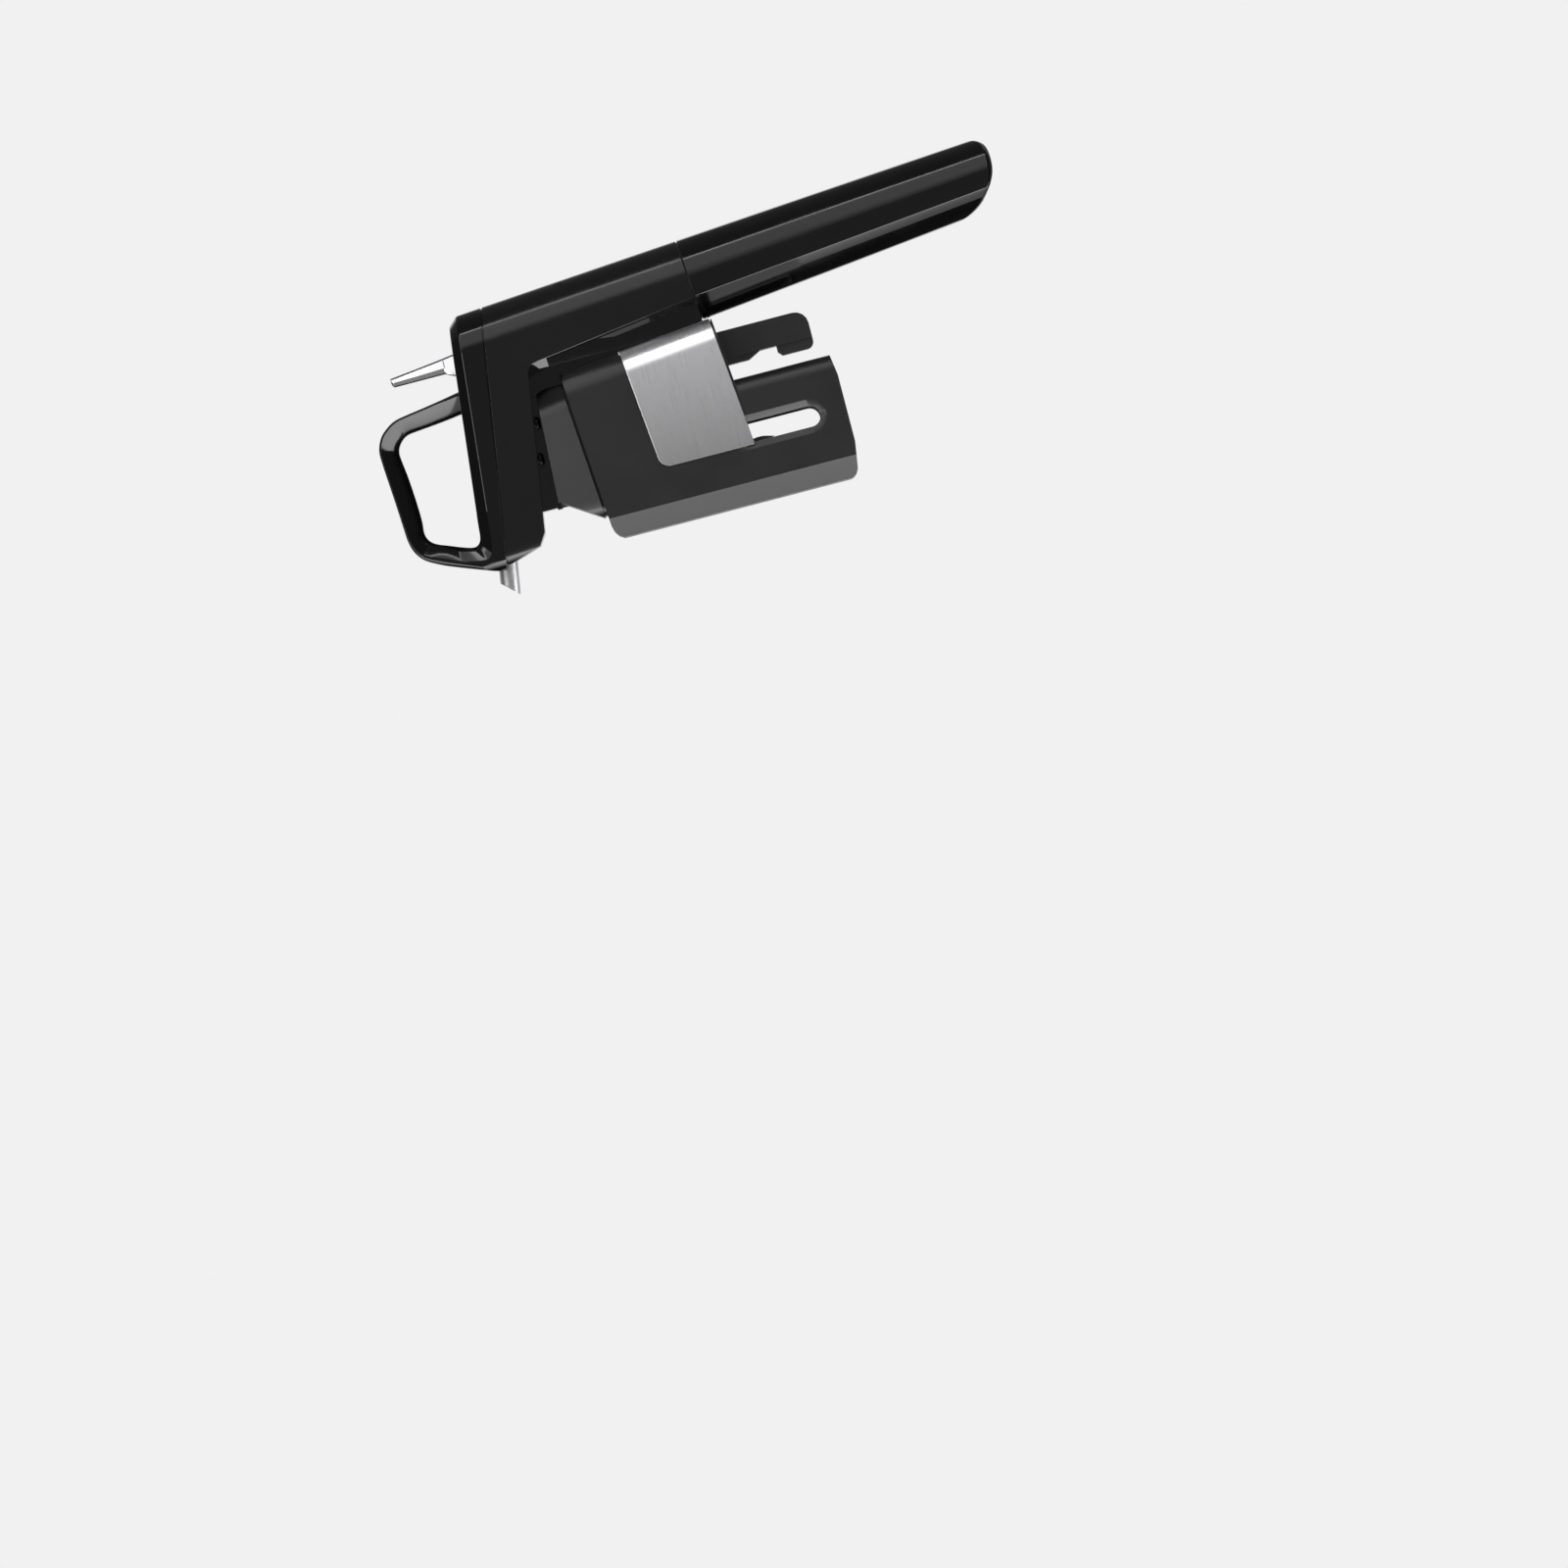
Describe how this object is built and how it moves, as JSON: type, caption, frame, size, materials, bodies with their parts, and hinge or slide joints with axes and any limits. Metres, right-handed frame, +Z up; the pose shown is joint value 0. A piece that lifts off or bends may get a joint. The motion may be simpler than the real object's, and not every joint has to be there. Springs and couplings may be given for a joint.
{
  "type": "wine preservation dispenser",
  "caption": "Hand-held dispenser that slides on a neck clamp, with needle, spout, finger loop, trigger and a gas capsule in its screw-off handle.",
  "frame": {"origin": "centre of the rubber seat's lower face, where the bottle's lip rests, on the needle's axis", "axes": "+Z up along the needle, away from the bottle; +X towards the handle; +Y across"},
  "size_m": [0.1094, 0.0424, 0.2237],
  "materials": {
    "satin_black": "satin black moulded plastic",
    "gloss_black": "gloss black moulded plastic",
    "matte_black": "matte black moulded plastic",
    "brushed_steel": "brushed stainless steel",
    "polished_steel": "polished stainless steel",
    "spring_steel": "plain steel",
    "brass": "plain brass",
    "rubber": "black rubber",
    "nylon": "natural nylon"
  },
  "bodies": {
    "clamp_base": {"clamp_housing": "matte_black", "badge_band": "brushed_steel", "guide_collar": "matte_black", "collar_screw_left": "spring_steel", "collar_screw_right": "spring_steel", "needle_guide": "nylon", "lip_seal": "rubber", "rail_bushing": "nylon", "jaw_pin_left": "spring_steel", "jaw_pin_right": "spring_steel", "jaw_spring_left": "spring_steel", "jaw_spring_right": "spring_steel"},
    "jaw_left": {"jaw_left": "nylon", "jaw_pad_left": "rubber"},
    "jaw_right": {"jaw_right": "nylon", "jaw_pad_right": "rubber"},
    "head": {"handle_body": "satin_black", "top_cover": "gloss_black", "lid_screw_front_left": "spring_steel", "lid_screw_front_right": "spring_steel", "lid_screw_back_left": "spring_steel", "lid_screw_back_right": "spring_steel", "handle_spine": "gloss_black", "rail": "matte_black", "rail_screw_left": "spring_steel", "rail_screw_right": "spring_steel", "needle_boss": "satin_black", "needle_hub": "brass", "needle_seal": "rubber", "needle": "polished_steel", "spout_tube": "polished_steel", "spout_seal": "rubber", "valve_block": "nylon", "valve_spring": "spring_steel", "gas_line": "spring_steel", "trigger_pin": "spring_steel", "regulator_body": "brass", "regulator_cap": "brass", "regulator_spring": "spring_steel", "piercing_pin": "spring_steel", "capsule_seal": "rubber"},
    "trigger": {"trigger": "polished_steel"},
    "valve_stem": {"valve_stem": "brass"},
    "regulator_piston": {"regulator_piston": "nylon"},
    "capsule": {"gas_capsule": "spring_steel"},
    "cup": {"capsule_cup": "gloss_black", "capsule_rest": "rubber"}
  },
  "joints": [
    {"name": "needle_plunge", "type": "slide", "parent": "clamp_base", "child": "head", "axis": [0, 0, 1], "range_m": [0, 0.05]},
    {"name": "jaw_left_swing", "type": "hinge", "parent": "clamp_base", "child": "jaw_left", "pos_m": [0, -0.01695, -0.009], "axis": [-1, 0, 0], "range_deg": [0, 2.5], "stiffness_Nm_per_rad": 0.05, "springref_deg": -5.73},
    {"name": "jaw_right_swing", "type": "hinge", "parent": "clamp_base", "child": "jaw_right", "pos_m": [0, 0.01695, -0.009], "axis": [1, 0, 0], "range_deg": [0, 2.5], "stiffness_Nm_per_rad": 0.05, "springref_deg": -5.73},
    {"name": "trigger_pull", "type": "hinge", "parent": "head", "child": "trigger", "pos_m": [0.0505, 0, 0.0465], "axis": [0, -1, 0], "range_deg": [0, 12], "stiffness_Nm_per_rad": 0.25, "springref_deg": -5.73},
    {"name": "valve_push", "type": "slide", "parent": "head", "child": "valve_stem", "axis": [0, 0, -1], "range_m": [0, 0.00268], "deforming": ["valve_spring"]},
    {"name": "regulator_flex", "type": "slide", "parent": "head", "child": "regulator_piston", "axis": [0.0785, 0, -0.9969], "range_m": [0, 0.0016], "stiffness_N_per_m": 2000, "springref_m": -0.001},
    {"name": "capsule_draw", "type": "slide", "parent": "head", "child": "capsule", "axis": [0.0785, 0, -0.9969], "range_m": [0, 0.009]},
    {"name": "cup_turn", "type": "hinge", "parent": "capsule", "child": "cup", "pos_m": [0.05785, 0, -0.031], "axis": [0.0785, 0, -0.9969], "range_deg": [0, 1080]}
  ],
  "couplings": [
    {"joint": "trigger_pull", "follows": "valve_push", "rad_per_m": 78.125},
    {"joint": "cup_turn", "follows": "capsule_draw", "rad_per_m": 2094.4}
  ]
}
